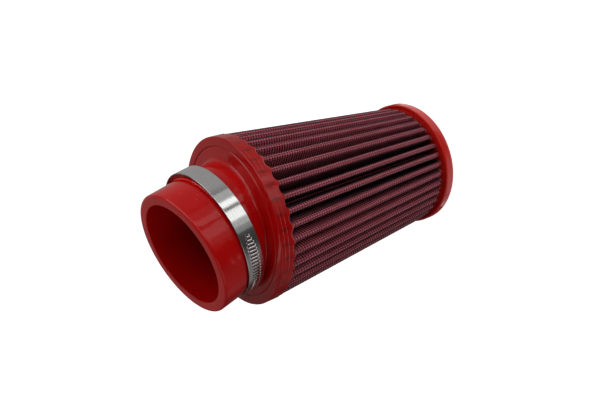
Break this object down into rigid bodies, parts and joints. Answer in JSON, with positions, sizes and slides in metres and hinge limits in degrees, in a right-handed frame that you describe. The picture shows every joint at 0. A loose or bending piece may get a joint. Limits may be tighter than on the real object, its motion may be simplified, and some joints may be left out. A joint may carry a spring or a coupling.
{
  "type": "cone air filter",
  "caption": "Clamp-on cone air filter: pleated cotton between wire meshes, moulded end cap and collar with a leaning neck, and a worm-drive clamp round the neck.",
  "frame": {"origin": "middle of the end cap's flat end face, which the filter stands on", "axes": "+Z along the filter's axis from the end cap to the neck; the neck leans towards +X; +Y completes the right-handed frame"},
  "size_m": [0.114, 0.114, 0.2137],
  "materials": {
    "moulding": "glossy soft polyurethane moulding, red through and through",
    "wire_mesh": "fine woven wire mesh with a dark satin coating",
    "oiled_cotton": "cotton gauze dyed burgundy by its filter oil",
    "band_steel": "bright stainless strip with rolled edges",
    "housing_steel": "pressed stainless steel",
    "screw_steel": "zinc-bright steel"
  },
  "bodies": {
    "filter": {"neck_base": "moulding", "end_cap": "moulding", "outer_wire_mesh": "wire_mesh", "cotton_gauze": "oiled_cotton", "inner_wire_mesh": "wire_mesh", "clamp_band": "band_steel", "clamp_housing": "housing_steel"},
    "screw": {"clamp_screw": "screw_steel"}
  },
  "joints": [
    {"name": "clamp_screw_turn", "type": "hinge", "parent": "filter", "child": "screw", "pos_m": [0.01478, -0.04727, 0.17524], "axis": [0.9533, 0.2567, -0.1593], "continuous": true}
  ]
}
